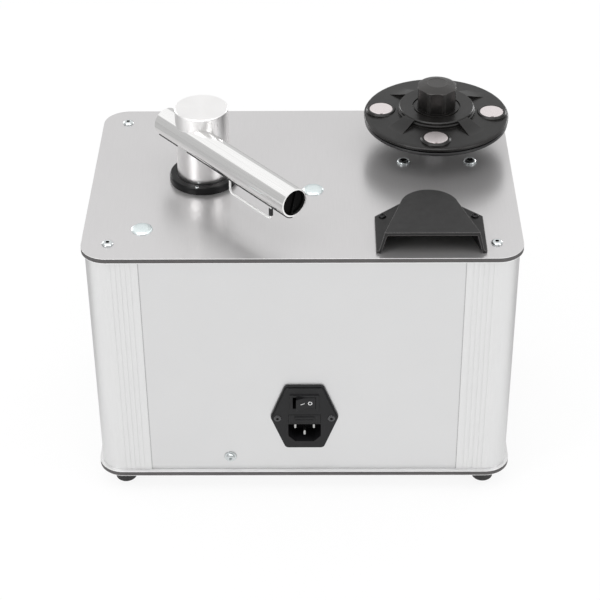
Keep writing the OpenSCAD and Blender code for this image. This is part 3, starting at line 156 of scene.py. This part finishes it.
class Paint:
    """A material on one Principled shader, with object coordinates for its patterns."""

    def __init__(self, name, colour, roughness, metallic=0.0, **sockets):
        self.name = name
        self.material = bpy.data.materials.new(name)
        self.material.use_nodes = True
        self.tree = self.material.node_tree
        self.shader = self.tree.nodes["Principled BSDF"]
        self.colour = colour
        self.roughness = roughness
        self.shader.inputs["Base Color"].default_value = (*colour, 1)
        self.shader.inputs["Roughness"].default_value = roughness
        self.shader.inputs["Metallic"].default_value = metallic
        for socket, value in sockets.items():
            self.shader.inputs[socket.replace("_", " ")].default_value = value

    def add(self, kind, **settings):
        return add_node(self.tree, kind, **settings)

    def link(self, output, socket):
        self.tree.links.new(output, socket)

    def noise(self, size, stretch=(1, 1, 1), detail=2.0, turn=0.0):
        """Noise with spots of that size in metres, drawn out by stretch after a turn about z; its
        middle value is 0.5."""
        place = self.add("ShaderNodeTexCoord")
        turned_place = self.add("ShaderNodeMapping")
        turned_place.inputs["Rotation"].default_value = (0, 0, turn)
        mapping = self.add("ShaderNodeMapping")
        mapping.inputs["Scale"].default_value = [1 / (size * s) for s in stretch]
        spots = self.add("ShaderNodeTexNoise")
        spots.inputs["Scale"].default_value = 1
        spots.inputs["Detail"].default_value = detail
        self.link(place.outputs["Object"], turned_place.inputs["Vector"])
        self.link(turned_place.outputs["Vector"], mapping.inputs["Vector"])
        self.link(mapping.outputs["Vector"], spots.inputs["Vector"])
        return spots.outputs["Fac"]

    def mixed(self, factor, first, second, blend="MIX"):
        """Makes the surface's colour a mix of two colours."""
        mix = self.add("ShaderNodeMix", data_type="RGBA", blend_type=blend)
        sockets = [mix.inputs[name] for name in ("Factor", "A", "B")]
        feed(self.tree, sockets, (factor, first, second))
        self.link(mix.outputs["Result"], self.shader.inputs["Base Color"])
        return self

    def pale_edges(self, radius, colour):
        """A lighter colour within radius of an edge, where black plastic catches the light."""
        rounded = self.add("ShaderNodeBevel", samples=4)
        rounded.inputs["Radius"].default_value = radius
        true = self.add("ShaderNodeNewGeometry")
        level = self.add("ShaderNodeVectorMath", operation="DOT_PRODUCT")
        self.link(rounded.outputs["Normal"], level.inputs[0])
        self.link(true.outputs["True Normal"], level.inputs[1])
        edge = map_range(self.tree, level.outputs["Value"], EDGE_SPAN, (0, 1))
        return self.mixed(edge, (*self.colour, 1), (*colour, 1))

    def painted_joint_shade(self, reach, share):
        """Paints shade into the colour, darkening it to that share where another piece stands on
        the surface.
        """
        open_sky = self.add("ShaderNodeAmbientOcclusion", samples=8)
        open_sky.inputs["Distance"].default_value = reach
        shade = map_range(self.tree, open_sky.outputs["AO"], JOINT_SPAN, (share, 1))
        plain = self.shader.inputs["Base Color"].links[0].from_socket
        return self.mixed(1, plain, shade, "MULTIPLY")

    def tint(self, fac, change):
        """Varies the colour by a share either way."""
        darker = [c * (1 - change) for c in self.colour]
        lighter = [min(1, c * (1 + change)) for c in self.colour]
        share = map_range(self.tree, fac, NOISE_SPAN, (0, 1))
        return self.mixed(share, (*darker, 1), (*lighter, 1))

    def roughen(self, fac, change):
        """Varies the roughness by a share either way."""
        limits = (self.roughness * (1 - change), self.roughness * (1 + change))
        self.link(map_range(self.tree, fac, NOISE_SPAN, limits), self.shader.inputs["Roughness"])
        return self

    def bump(self, fac, depth):
        """Raises and sinks the surface by that depth in metres."""
        bump = self.add("ShaderNodeBump")
        bump.inputs["Distance"].default_value = depth
        self.link(fac, bump.inputs["Height"])
        self.link(bump.outputs["Normal"], self.shader.inputs["Normal"])
        return self

    def tangent(self, axis):
        """Sets the direction of the stretched gloss: round that axis."""
        tangent = self.add("ShaderNodeTangent", direction_type="RADIAL", axis=axis)
        self.link(tangent.outputs["Tangent"], self.shader.inputs["Tangent"])
        return self


# Noise that is drawn out along no axis
EVEN = (1, 1, 1)
# Sizes in metres of the clouds in colour, the patches in gloss and the grain of the relief
BRUSH_CLOUD = 0.03
PLASTIC_CLOUD = 0.012
PLASTIC_PATCH = 0.006
ZINC_CLOUD = 0.0012
ZINC_PATCH = 0.0006
ZINC_GRAIN = 0.0005
LATHE_LINE = 0.00025
# Depths in metres of the relief
BRUSH_DEPTH = 0.000004
ZINC_DEPTH = 0.00001
LATHE_DEPTH = 0.000003
SMOOTH = 0.00001


def brushed(
    name, colour, roughness, grain=0.02, along=(1, 60, 1), size=0.0004, metal=1.0, turn=0.0,
    **sockets
):
    """Satin metal with fine streaks along one axis; metal is the share of it that mirrors."""
    paint = Paint(name, colour, roughness, metal, **sockets)
    streaks = paint.noise(size, along, 4, turn)
    paint.tint(streaks, grain).roughen(paint.noise(BRUSH_CLOUD), 0.06)
    return paint.bump(streaks, BRUSH_DEPTH)


def moulded(name, colour, roughness, texture=0.00002, size=0.0003, specular=0.5, **sockets):
    """Moulded plastic or rubber with a fine eroded texture and faint cloudiness."""
    paint = Paint(name, colour, roughness, Specular_IOR_Level=specular, **sockets)
    paint.tint(paint.noise(PLASTIC_CLOUD), 0.08).roughen(paint.noise(PLASTIC_PATCH), 0.1)
    return paint.bump(paint.noise(size, EVEN, 3), texture)


def bright_steel(name, colour, roughness):
    """Zinc plated steel, a little cloudy."""
    paint = Paint(name, colour, roughness, 1.0)
    paint.tint(paint.noise(ZINC_CLOUD), 0.05).roughen(paint.noise(ZINC_PATCH), 0.3)
    return paint.bump(paint.noise(ZINC_GRAIN), ZINC_DEPTH)


def turned(name, colour, roughness, anisotropic):
    """Aluminium turned on a lathe, with fine lines round its vertical axis."""
    paint = Paint(name, colour, roughness, 1.0, Anisotropic=anisotropic)
    lines = paint.noise(LATHE_LINE, (60, 60, 1), 3)
    return paint.tint(lines, 0.015).bump(lines, LATHE_DEPTH).tangent("Z")


def make_materials():
    """The finish of each record slot, and of a few nodes that differ from their slot."""
    case = (
        brushed("plate_skin", (0.615, 0.606, 0.608), 0.3, metal=0.79, Anisotropic=0.4).tangent("X"),
        # A painted highlight for the cut edges of the plates' skins
        brushed("edge_highlight", (0.96, 0.96, 0.96), 0.35, 0.01, EVEN, metal=0.5),
        # A lighter, less mirroring copy of the plate skin for the bottom plate's ledge; its lighter
        # colour is painted light from overhead
        brushed("lit_ledge_skin", (0.71, 0.71, 0.71), 0.4, 0.012, EVEN, metal=0.4),
        moulded("plate_core", (0.09, 0.085, 0.085), 0.55),
        brushed("profile_metal", (0.77, 0.77, 0.77), 0.36, 0.012, (1, 1, 60), metal=0.8),
        # The panel gets painted shade in its joints with the profiles and the inlet
        brushed(
            "panel_metal", (0.74, 0.74, 0.742), 0.42, 0.012, EVEN, 0.00035
        ).painted_joint_shade(0.0012, 0.55),
        moulded("foot_rubber", (0.024, 0.023, 0.023), 0.6, 0.00003),
        bright_steel("steel", (0.66, 0.69, 0.695), 0.31),
        bright_steel("bolt_zinc", (0.76, 0.83, 0.835), 0.36),
        bright_steel("black_screw", (0.03, 0.03, 0.031), 0.35),
        bright_steel("dark_screw", (0.1, 0.1, 0.103), 0.3),
        # Painted shade for the sockets in the screws' heads
        moulded("socket_shade", (0.01, 0.01, 0.01), 0.6, SMOOTH, specular=0.1),
        moulded(
            "hood_plastic", (0.008, 0.0076, 0.0077), 0.44, 0.00003, 0.0004, specular=0.37
        ).pale_edges(0.0008, (0.13, 0.125, 0.125)),
    )
    switches = (
        moulded("black_plastic", (0.005, 0.005, 0.0055), 0.32, SMOOTH, specular=0.22),
        moulded("socket_plastic", (0.008, 0.008, 0.009), 0.45, SMOOTH, specular=0.33),
        bright_steel("contact_metal", (0.5, 0.5, 0.49), 0.3),
        moulded("mark_white", (0.82, 0.82, 0.82), 0.5, SMOOTH),
    )
    clamp = (
        brushed("satin_steel", (0.86, 0.86, 0.86), 0.35, 0.02, (1, 1, 30), metal=0.3),
        moulded("platter_plastic", (0.012, 0.012, 0.013), 0.4, SMOOTH),
        moulded("mat_rubber", (0.014, 0.014, 0.015), 0.6),
        moulded(
            "clamp_plastic", (0.005, 0.0046, 0.0043), 0.33, 0.00002, 0.0004, specular=0.39
        ).pale_edges(0.0005, (0.04, 0.038, 0.037)),
        moulded(
            "knob_plastic", (0.005, 0.0047, 0.0045), 0.3, SMOOTH, specular=0.8,
            Specular_Tint=(1, 0.97, 0.95, 1)
        ).pale_edges(0.0006, (0.05, 0.048, 0.047)),
        brushed("insert_metal", (0.79, 0.735, 0.735), 0.4, 0.12, EVEN, 0.0005),
    )
    arm = (
        turned("turned_post", (0.92, 0.912, 0.907), 0.31, 0.6),
        brushed("drawn_tube", (0.92, 0.917, 0.91), 0.13, 0.05, (80, 1, 1), 0.0006, turn=-PARK),
        brushed("bright_wire", (0.97, 0.97, 0.96), 0.3, metal=0.15),
        moulded("plug_black", (0.0025, 0.0025, 0.0025), 0.5, SMOOTH, specular=0.06),
        moulded("felt", (0.012, 0.012, 0.013), 0.95, 0.00025, 0.0002, Sheen_Weight=0.3),
    )
    inside = (
        bright_steel("motor_metal", (0.36, 0.37, 0.38), 0.4),
        moulded("tank_plastic", (0.72, 0.72, 0.68), 0.4),
        moulded("hose_plastic", (0.03, 0.03, 0.032), 0.4),
        moulded("board", (0.03, 0.11, 0.05), 0.3),
    )
    return {paint.name: paint.material for paint in case + switches + clamp + arm + inside}


# Nodes whose finish differs from the one of their slot
SPECIAL_FINISH = {
    # The bottom plate's skins take the lit copy of the skin finish
    "bottom_plate_skins": "lit_ledge_skin",
    "spindle": "satin_steel",
    "inlet_screws": "dark_screw",
    "wire_loop": "bright_wire",
    "tube_plugs": "plug_black",
    "tank_bolts": "bolt_zinc",
    "arm_post": "turned_post",
    "suction_tube": "drawn_tube",
    "clamp_inserts": "insert_metal",
    "clamp_knob": "knob_plastic",
    "inlet_housing": "socket_plastic",
    "fuse_drawer": "socket_plastic",
    "mains_rocker": "socket_plastic",
}


def finish_of(node):
    return SPECIAL_FINISH.get(node, SLOT_OF[node])


def paint_nodes(materials):
    for name, node in nodes.items():
        node.data.materials.clear()
        node.data.materials.append(materials[finish_of(name)])


# Rounded copies of nodes

# Points nearer to each other than this are joined
WELD = 0.002 * MM
# Faces that meet at less than the first angle count as one, and edges over the others as sharp
FLAT_ANGLE = math.radians(1.5)
SHARP_ANGLE = math.radians(32)
EASED_SHARP_ANGLE = math.radians(50)
# Edges rounded by less than this, in millimetres, get one facet and the others two
ONE_FACET = 0.2

# Width in millimetres by which each node's sharp edges are rounded
EASED = {
    "exhaust_hood": 0.5,
    "clamp_knob": 0.35,
    "clamp_disc": 0.3,
    "top_plate_skins": 0.14,
    "bottom_plate_skins": 0.14,
    "case_screws": 0.12,
    "motor_screws": 0.12,
    "hood_screws": 0.1,
    "inlet_screws": 0.1,
    "ring_screws": 0.08,
    "inlet_pins": 0.6,
    "inlet_housing": 0.15,
    "fuse_drawer": 0.2,
    "arm_ring": 0.3,
    "feet": 0.4,
    "mains_rocker": 0.25,
    "rotation_rocker": 0.25,
    "suction_rocker": 0.25,
    "switch_bezels": 0.3,
    "clamp_pad": 0.15,
    "platter_mat": 0.1,
    "wire_sleeve": 0.1,
}


def joined_mesh(node):
    """The node's own mesh with its doubled points joined and its flat faces made whole."""
    mesh = bmesh.new()
    mesh.from_mesh(nodes[node].data)
    bmesh.ops.remove_doubles(mesh, verts=mesh.verts, dist=WELD)
    bmesh.ops.dissolve_limit(
        mesh, angle_limit=FLAT_ANGLE, use_dissolve_boundaries=False,
        verts=mesh.verts, edges=mesh.edges,
    )
    return mesh


def new_piece(mesh, name, body, material, sharp=SHARP_ANGLE):
    data = bpy.data.meshes.new(name)
    mesh.to_mesh(data)
    mesh.free()
    piece = placed(name, data)
    data.materials.append(material)
    data.set_sharp_from_angle(angle=sharp)
    for face in data.polygons:
        face.use_smooth = True
    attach(piece, body)
    return piece


def stand_in(mesh, name, node, materials, sharp=SHARP_ANGLE):
    """A piece that takes a node's place, with the node's body and finish."""
    piece = new_piece(mesh, name, BODY_OF[node], materials[finish_of(node)], sharp)
    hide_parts(node)
    return piece


def ease(node, materials, width):
    """Stands in for a node with its sharp edges rounded by that width in millimetres."""
    mesh = joined_mesh(node)
    sharp = [
        e for e in mesh.edges if len(e.link_faces) == 2 and e.calc_face_angle() > SHARP_ANGLE
    ]
    bmesh.ops.bevel(
        mesh, geom=sharp, offset=width * MM, offset_type="OFFSET",
        segments=1 if width < ONE_FACET else 2, profile=0.5, affect="EDGES",
        clamp_overlap=True, material=-1, loop_slide=True,
    )
    piece = stand_in(mesh, node + "_eased", node, materials, EASED_SHARP_ANGLE)
    weights = piece.modifiers.new("flat_faces", "WEIGHTED_NORMAL")
    weights.keep_sharp = True
    weights.weight = 100
    return piece


# The screws: radius in millimetres of the socket in each head, and the axis that the screw lies
# along
SOCKETS = {
    "case_screws": (1.5, 2),
    "motor_screws": (2.5, 2),
    "hood_screws": (1.0, 2),
    "inlet_screws": (1.2, 1),
    "ring_screws": (0.8, 2),
}
SOCKET_PLAY = 0.04


def paint_socket_shade(piece, painted_shade, radius, axis):
    """Paints shade on the walls and floors of the sockets in a node's screws, with a near-black
    material.
    """
    piece.data.materials.append(painted_shade)
    mesh = bmesh.new()
    mesh.from_mesh(piece.data)
    across = [k for k in range(3) if k != axis]
    left = set(mesh.faces)
    while left:
        island = [left.pop()]
        for face in island:
            near = {f for v in face.verts for f in v.link_faces} & left
            left -= near
            island.extend(near)
        points = [v.co for face in island for v in face.verts]
        centre = [(min(p[k] for p in points) + max(p[k] for p in points)) / 2 for k in across]
        for face in island:
            reach = max(math.dist([v.co[k] for k in across], centre) for v in face.verts)
            if reach < (radius + SOCKET_PLAY) * MM:
                face.material_index = 1
    mesh.to_mesh(piece.data)
    mesh.free()


# A face of a skin belongs to its flat side from this upright share of its normal
FLAT_SIDE = 0.9


def paint_edge_highlights(piece, material):
    """The cut edges of the plates' skins, given a lighter finish than their faces as a painted
    highlight.
    """
    piece.data.materials.append(material)
    for face in piece.data.polygons:
        if abs(face.normal.z) < FLAT_SIDE:
            face.material_index = 1


def ease_nodes(materials):
    for node, width in EASED.items():
        eased = ease(node, materials, width)
        # The screws' sockets get painted shade
        if node in SOCKETS:
            paint_socket_shade(eased, materials["socket_shade"], *SOCKETS[node])
        # The skins' cut edges get a painted highlight
        if node in ("top_plate_skins", "bottom_plate_skins"):
            paint_edge_highlights(eased, materials["edge_highlight"])


# Felt under the tube, in millimetres

FELT_T = 0.85
# How far the far strip stops short of the tube's ends, and how far round the tube each strip
# reaches: the one on the camera's side is 1 and the far one -1
FELT_SHORT = 5
FELT_REACH = {1: math.radians(42), -1: math.radians(16)}
# Each run of pile: its side of the slot, and where along the tube it starts on its way to the post
FELT_RUNS = (
    (-1, FELT_SHORT - TUBE_IN),
    (-1, TUBE_OUT - FELT_SHORT),
    (1, -TUBE_IN),
    (1, TUBE_OUT),
)
# Its play at the tube and at the post
FELT_LIFT = 0.02
FELT_POST_GAP = 0.15
# How steeply the pile rises from its edges, and its height there, as shares of its thickness
FELT_SWELL = 3
FELT_EDGE = 0.15
# The tufts: their size in millimetres and their height as a share of the pile's
FELT_TUFT = 0.7
FELT_ROUGH = 0.12
# The mesh of a strip: its step along the tube, and its number of columns across
FELT_STEP = 0.8
FELT_COLUMNS = 12


def felt_point(along, angle, radius):
    """A point at the tube: along its axis, at an angle from its underside, in world metres."""
    local = Vector((
        along, -TUBE_OFF - radius * math.sin(angle), TUBE_Z - radius * math.cos(angle)
    ))
    return (ARM_AT + Matrix.Rotation(PARK, 3, "Z") @ local) * MM


def make_felt(materials):
    """A strip of pile on each side of the slot, round the tube's underside, up to the post."""
    mesh = bmesh.new()
    slot_angle = math.asin(SLOT_W / 2 / TUBE_R)
    for side, end in FELT_RUNS:
        columns = []
        count = max(2, round(abs(end) / FELT_STEP))
        for i in range(FELT_COLUMNS + 1):
            share = i / FELT_COLUMNS
            angle = side * (slot_angle + (FELT_REACH[side] - slot_angle) * share)
            across = TUBE_OFF + (TUBE_R + FELT_T) * math.sin(angle)
            clear = math.sqrt((POST_R + FELT_POST_GAP) ** 2 - min(across, POST_R) ** 2)
            stop = math.copysign(clear, end)
            rise = FELT_T * min(1, FELT_SWELL * (share * (1 - share)) ** 0.5 + FELT_EDGE)
            column = []
            for j in range(count + 1):
                along = end + (stop - end) * j / count
                under = felt_point(along, angle, TUBE_R + FELT_LIFT)
                top = felt_point(along, angle, TUBE_R + rise)
                if 0 < j < count:
                    tuft = noise.noise(top / (FELT_TUFT * MM)) * FELT_ROUGH
                    top = felt_point(along, angle, TUBE_R + rise * (1 + tuft))
                column.append((mesh.verts.new(under), mesh.verts.new(top)))
            columns.append(column)
        for a, b in zip(columns, columns[1:]):
            for j in range(count):
                mesh.faces.new((a[j][1], a[j + 1][1], b[j + 1][1], b[j][1]))
                mesh.faces.new((a[j][0], b[j][0], b[j + 1][0], a[j + 1][0]))
            for j in (0, count):
                mesh.faces.new((a[j][0], a[j][1], b[j][1], b[j][0]))
        for column in (columns[0], columns[-1]):
            for j in range(count):
                mesh.faces.new((column[j][0], column[j + 1][0], column[j + 1][1], column[j][1]))
    bmesh.ops.recalc_face_normals(mesh, faces=mesh.faces)
    stand_in(mesh, "felt_pile", "felt_strips", materials)


# The spring under the post


def make_spring(materials):
    """The coil under the post, as a piece with a mesh of its own."""
    mesh = bmesh.new()
    mesh.from_mesh(nodes["arm_spring"].data)
    piece = stand_in(mesh, "spring_coil", "arm_spring", materials)
    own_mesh(piece)


# Marks on the mains rocker

# Places (x, z), radius and half widths of the strokes in millimetres
RING_AT = (5.07, 86.2)
RING_R = 1.35
RING_HALF = 0.25
RING_STEPS = 32
DASH_FROM = (-1.91, 86.1)
DASH_TO = (1.1, 86.3)
DASH_HALF = 0.22
DASH_STEPS = 6
MARK_PROUD = 0.04 * MM
MARK_SUNK = 0.03 * MM
# From the middle of the case to in front of the rocker, in metres, and the way back
BEFORE_ROCKER = Vector((0, -0.2, 0))
INWARDS = Vector((0, 1, 0))


def mark(name, points, half_width, closed, materials):
    """A flat printed stroke along points (x, z in millimetres), laid on the rocker's face."""
    rocker = nodes["mains_rocker"].data
    corners = [v.co for v in rocker.vertices]
    faces = BVHTree.FromPolygons(corners, [tuple(f.vertices) for f in rocker.polygons])
    mesh = bmesh.new()
    rows = []
    count = len(points)
    for k, (x, z) in enumerate(points):
        before = points[(k - 1) % count] if closed or k else points[0]
        after = points[(k + 1) % count] if closed or k < count - 1 else points[-1]
        along = Vector((after[0] - before[0], after[1] - before[1])).normalized()
        row = []
        for offset in (-half_width, half_width):
            place = Vector((x - offset * along.y, 0, z + offset * along.x)) * MM
            hit = faces.ray_cast(place + BEFORE_ROCKER, INWARDS)[0]
            row.append(mesh.verts.new(hit - INWARDS * MARK_PROUD))
            row.append(mesh.verts.new(hit + INWARDS * MARK_SUNK))
        rows.append(row)
    for k in range(count if closed else count - 1):
        a, b = rows[k], rows[(k + 1) % count]
        for i, j in ((0, 2), (2, 3), (3, 1), (1, 0)):
            mesh.faces.new((a[i], a[j], b[j], b[i]))
    if not closed:
        for row in (rows[0], rows[-1]):
            mesh.faces.new((row[0], row[1], row[3], row[2]))
    bmesh.ops.recalc_face_normals(mesh, faces=mesh.faces)
    new_piece(mesh, name, BODY_OF["mains_rocker"], materials["mark_white"])


def make_marks(materials):
    turns = [math.tau * k / RING_STEPS for k in range(RING_STEPS)]
    ring = [(RING_AT[0] + RING_R * math.cos(a), RING_AT[1] + RING_R * math.sin(a)) for a in turns]
    mark("mark_ring", ring, RING_HALF, True, materials)
    dash = [
        [DASH_FROM[k] + (DASH_TO[k] - DASH_FROM[k]) * i / DASH_STEPS for k in (0, 1)]
        for i in range(DASH_STEPS + 1)
    ]
    mark("mark_dash", dash, DASH_HALF, False, materials)


# Surroundings

def along_y(tree, coordinates, span, result):
    """A number that goes softly from one value to the other between two places along y."""
    place = add_node(tree, "ShaderNodeTexCoord")
    split = add_node(tree, "ShaderNodeSeparateXYZ")
    tree.links.new(place.outputs[coordinates], split.inputs["Vector"])
    return map_range(tree, split.outputs["Y"], span, result, "SMOOTHSTEP")


# How bright the studio is: overhead, and round the object behind it and where the camera stands
OVERHEAD = 1.0
BEHIND = 0.62
IN_FRONT = 0.52
# Where the walls change along y, which way the ceiling faces, and where it begins
WALL_SPAN = (-0.3, 0.8)
CEILING_LEAN = (0, 0.25, 1)
CEILING_SPAN = (0.56, 0.64)


def make_world():
    """A studio with a bright ceiling that leans back, grey round the object, and white where the
    camera looks."""
    world = bpy.data.worlds.new("studio")
    bpy.context.scene.world = world
    world.use_nodes = True
    tree = world.node_tree
    tree.nodes.clear()
    output = add_node(tree, "ShaderNodeOutputWorld")
    light = add_node(tree, "ShaderNodeBackground")
    white = add_node(tree, "ShaderNodeBackground")
    for background in (light, white):
        background.inputs["Color"].default_value = (1, 1, 1, 1)
    place = add_node(tree, "ShaderNodeTexCoord")
    lean = add_node(tree, "ShaderNodeVectorMath", operation="DOT_PRODUCT")
    feed(tree, lean.inputs, (place.outputs["Generated"], CEILING_LEAN))
    up = map_range(tree, lean.outputs["Value"], CEILING_SPAN, (0, 1), "SMOOTHSTEP")
    around = along_y(tree, "Generated", WALL_SPAN, (IN_FRONT, BEHIND))
    level = add_node(tree, "ShaderNodeMix")
    feed(tree, [level.inputs[name] for name in ("Factor", "A", "B")], (up, around, OVERHEAD))
    feed(tree, [light.inputs["Strength"], white.inputs["Strength"]], (level.outputs["Result"], 1))
    path = add_node(tree, "ShaderNodeLightPath")
    mix = add_node(tree, "ShaderNodeMixShader")
    feed(tree, mix.inputs, (
        path.outputs["Is Camera Ray"], light.outputs["Background"], white.outputs["Background"]
    ))
    tree.links.new(mix.outputs["Shader"], output.inputs["Surface"])


FLOOR_HALF = 4.0
FLOOR_WHITE = 0.86
FLOOR_SHADOW = 0.12
# How bright the floor shows in gloss behind the object, and between which places along y it fades
FLOOR_BEHIND = 0.45
FLOOR_SPAN = (-0.16, 0.06)


def make_floor():
    """A white floor that keeps a faint shadow of the object."""
    mesh = bmesh.new()
    mesh.faces.new([
        mesh.verts.new((x * FLOOR_HALF, y * FLOOR_HALF, 0))
        for x, y in ((-1, -1), (1, -1), (1, 1), (-1, 1))
    ])
    data = bpy.data.meshes.new("floor")
    mesh.to_mesh(data)
    mesh.free()
    floor = placed("floor", data)
    material = bpy.data.materials.new("floor")
    material.use_nodes = True
    tree = material.node_tree
    shader = tree.nodes["Principled BSDF"]
    shader.inputs["Base Color"].default_value = (FLOOR_WHITE, FLOOR_WHITE, FLOOR_WHITE, 1)
    shader.inputs["Roughness"].default_value = 0.9
    shader.inputs["Specular IOR Level"].default_value = 0
    path = add_node(tree, "ShaderNodeLightPath")
    seen, gloss, clear = (
        path.outputs[f"Is {kind} Ray"] for kind in ("Camera", "Glossy", "Transmission")
    )
    glow = add_node(tree, "ShaderNodeEmission")
    mirrored = along_y(tree, "Object", FLOOR_SPAN, (1, FLOOR_BEHIND))
    tree.links.new(calculate(tree, "MAXIMUM", seen, mirrored), glow.inputs["Strength"])
    direct = calculate(tree, "MAXIMUM", calculate(tree, "MAXIMUM", seen, gloss), clear)
    share = calculate(tree, "MULTIPLY", direct, 1 - FLOOR_SHADOW)
    mix = add_node(tree, "ShaderNodeMixShader")
    feed(tree, mix.inputs, (share, shader.outputs["BSDF"], glow.outputs["Emission"]))
    tree.links.new(mix.outputs["Shader"], tree.nodes["Material Output"].inputs["Surface"])
    data.materials.append(material)


# Soft boxes: name, place, the height on the object's axis that it faces, its two sizes in metres
# and its power in watts
LAMPS = (
    ("top_box", (-0.1, -0.45, 1.4), 0.15, (1.2, 0.8), 6),
    ("left_box", (-0.85, -0.88, 1.0), 0.15, (0.4, 0.9), 4),
    ("right_box", (1.07, -0.62, 1.0), 0.15, (0.4, 0.9), 3),
    ("left_rim", (-1.15, 1.3, 0.45), 0.25, (0.7, 0.3), 5),
    ("right_rim", (1.15, 1.3, 0.45), 0.25, (0.7, 0.3), 5),
)


def make_lights():
    for name, at, height, size, power in LAMPS:
        data = bpy.data.lights.new(name, "AREA")
        data.shape = "RECTANGLE"
        data.size, data.size_y = size
        data.energy = power
        light = placed(name, data)
        light.location = at
        way = Vector((0, 0, height)) - Vector(at)
        light.rotation_euler = way.to_track_quat("-Z", "Y").to_euler()


materials = make_materials()
paint_nodes(materials)
make_camera()
make_world()
make_floor()
make_lights()
ease_nodes(materials)
make_felt(materials)
make_spring(materials)
make_marks(materials)

bpy.context.scene.view_settings.view_transform = "Standard"
